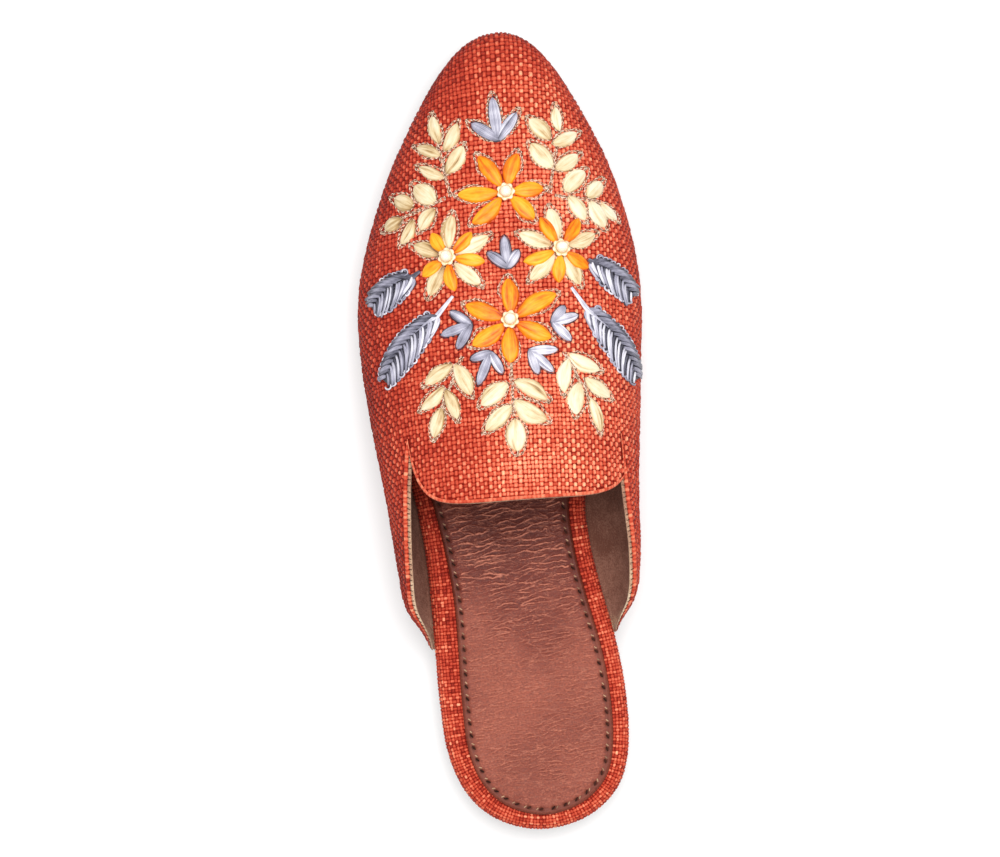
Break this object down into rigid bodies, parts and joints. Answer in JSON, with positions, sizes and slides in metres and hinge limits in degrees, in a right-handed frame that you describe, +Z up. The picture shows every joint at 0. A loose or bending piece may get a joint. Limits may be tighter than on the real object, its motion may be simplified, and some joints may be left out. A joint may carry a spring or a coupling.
{
  "type": "embroidered mule",
  "caption": "Flat backless mule for a left foot: pointed closed toe and low side wings in woven cloth with raised floral embroidery, a padded leather-topped footbed and a low heel.",
  "frame": {"origin": "middle of the bounding box's underside, on the floor", "axes": "+Y from the heel to the toe, +X towards the inner side of the foot, +Z up from the floor"},
  "size_m": [0.0939, 0.2649, 0.0639],
  "materials": {
    "sole_rubber": "matt moulded rubber",
    "woven_cloth": "slubby plain weave, terracotta",
    "leather": "pebbled, satin; suede on the lining",
    "satin_ribbon": "satin ribbon, orange to yellow",
    "cream_ribbon": "satin ribbon, cream",
    "thread": "silky grey thread and dull copper cord",
    "pearl": "pearl lustre"
  },
  "bodies": {
    "root": {"outsole": "sole_rubber", "footbed": "woven_cloth", "sock": "leather", "upper": "woven_cloth", "flower_toe": "satin_ribbon", "flower_outer": "satin_ribbon", "flower_inner": "satin_ribbon", "flower_instep": "satin_ribbon", "pearl_toe": "pearl", "pearl_outer": "pearl", "pearl_inner": "pearl", "pearl_instep": "pearl", "trefoil_toe": "thread", "trefoil_middle": "thread", "trefoil_outer": "thread", "trefoil_inner": "thread", "trefoil_back_outer": "thread", "trefoil_back_inner": "thread", "sprig_toe_outer": "cream_ribbon", "sprig_side_outer": "cream_ribbon", "sprig_toe_inner": "cream_ribbon", "sprig_side_inner": "cream_ribbon", "sprig_back_outer": "cream_ribbon", "sprig_back_middle": "cream_ribbon", "sprig_back_inner": "cream_ribbon", "feather_front_outer": "thread", "feather_back_outer": "thread", "feather_front_inner": "thread", "feather_back_inner": "thread"}
  },
  "joints": []
}
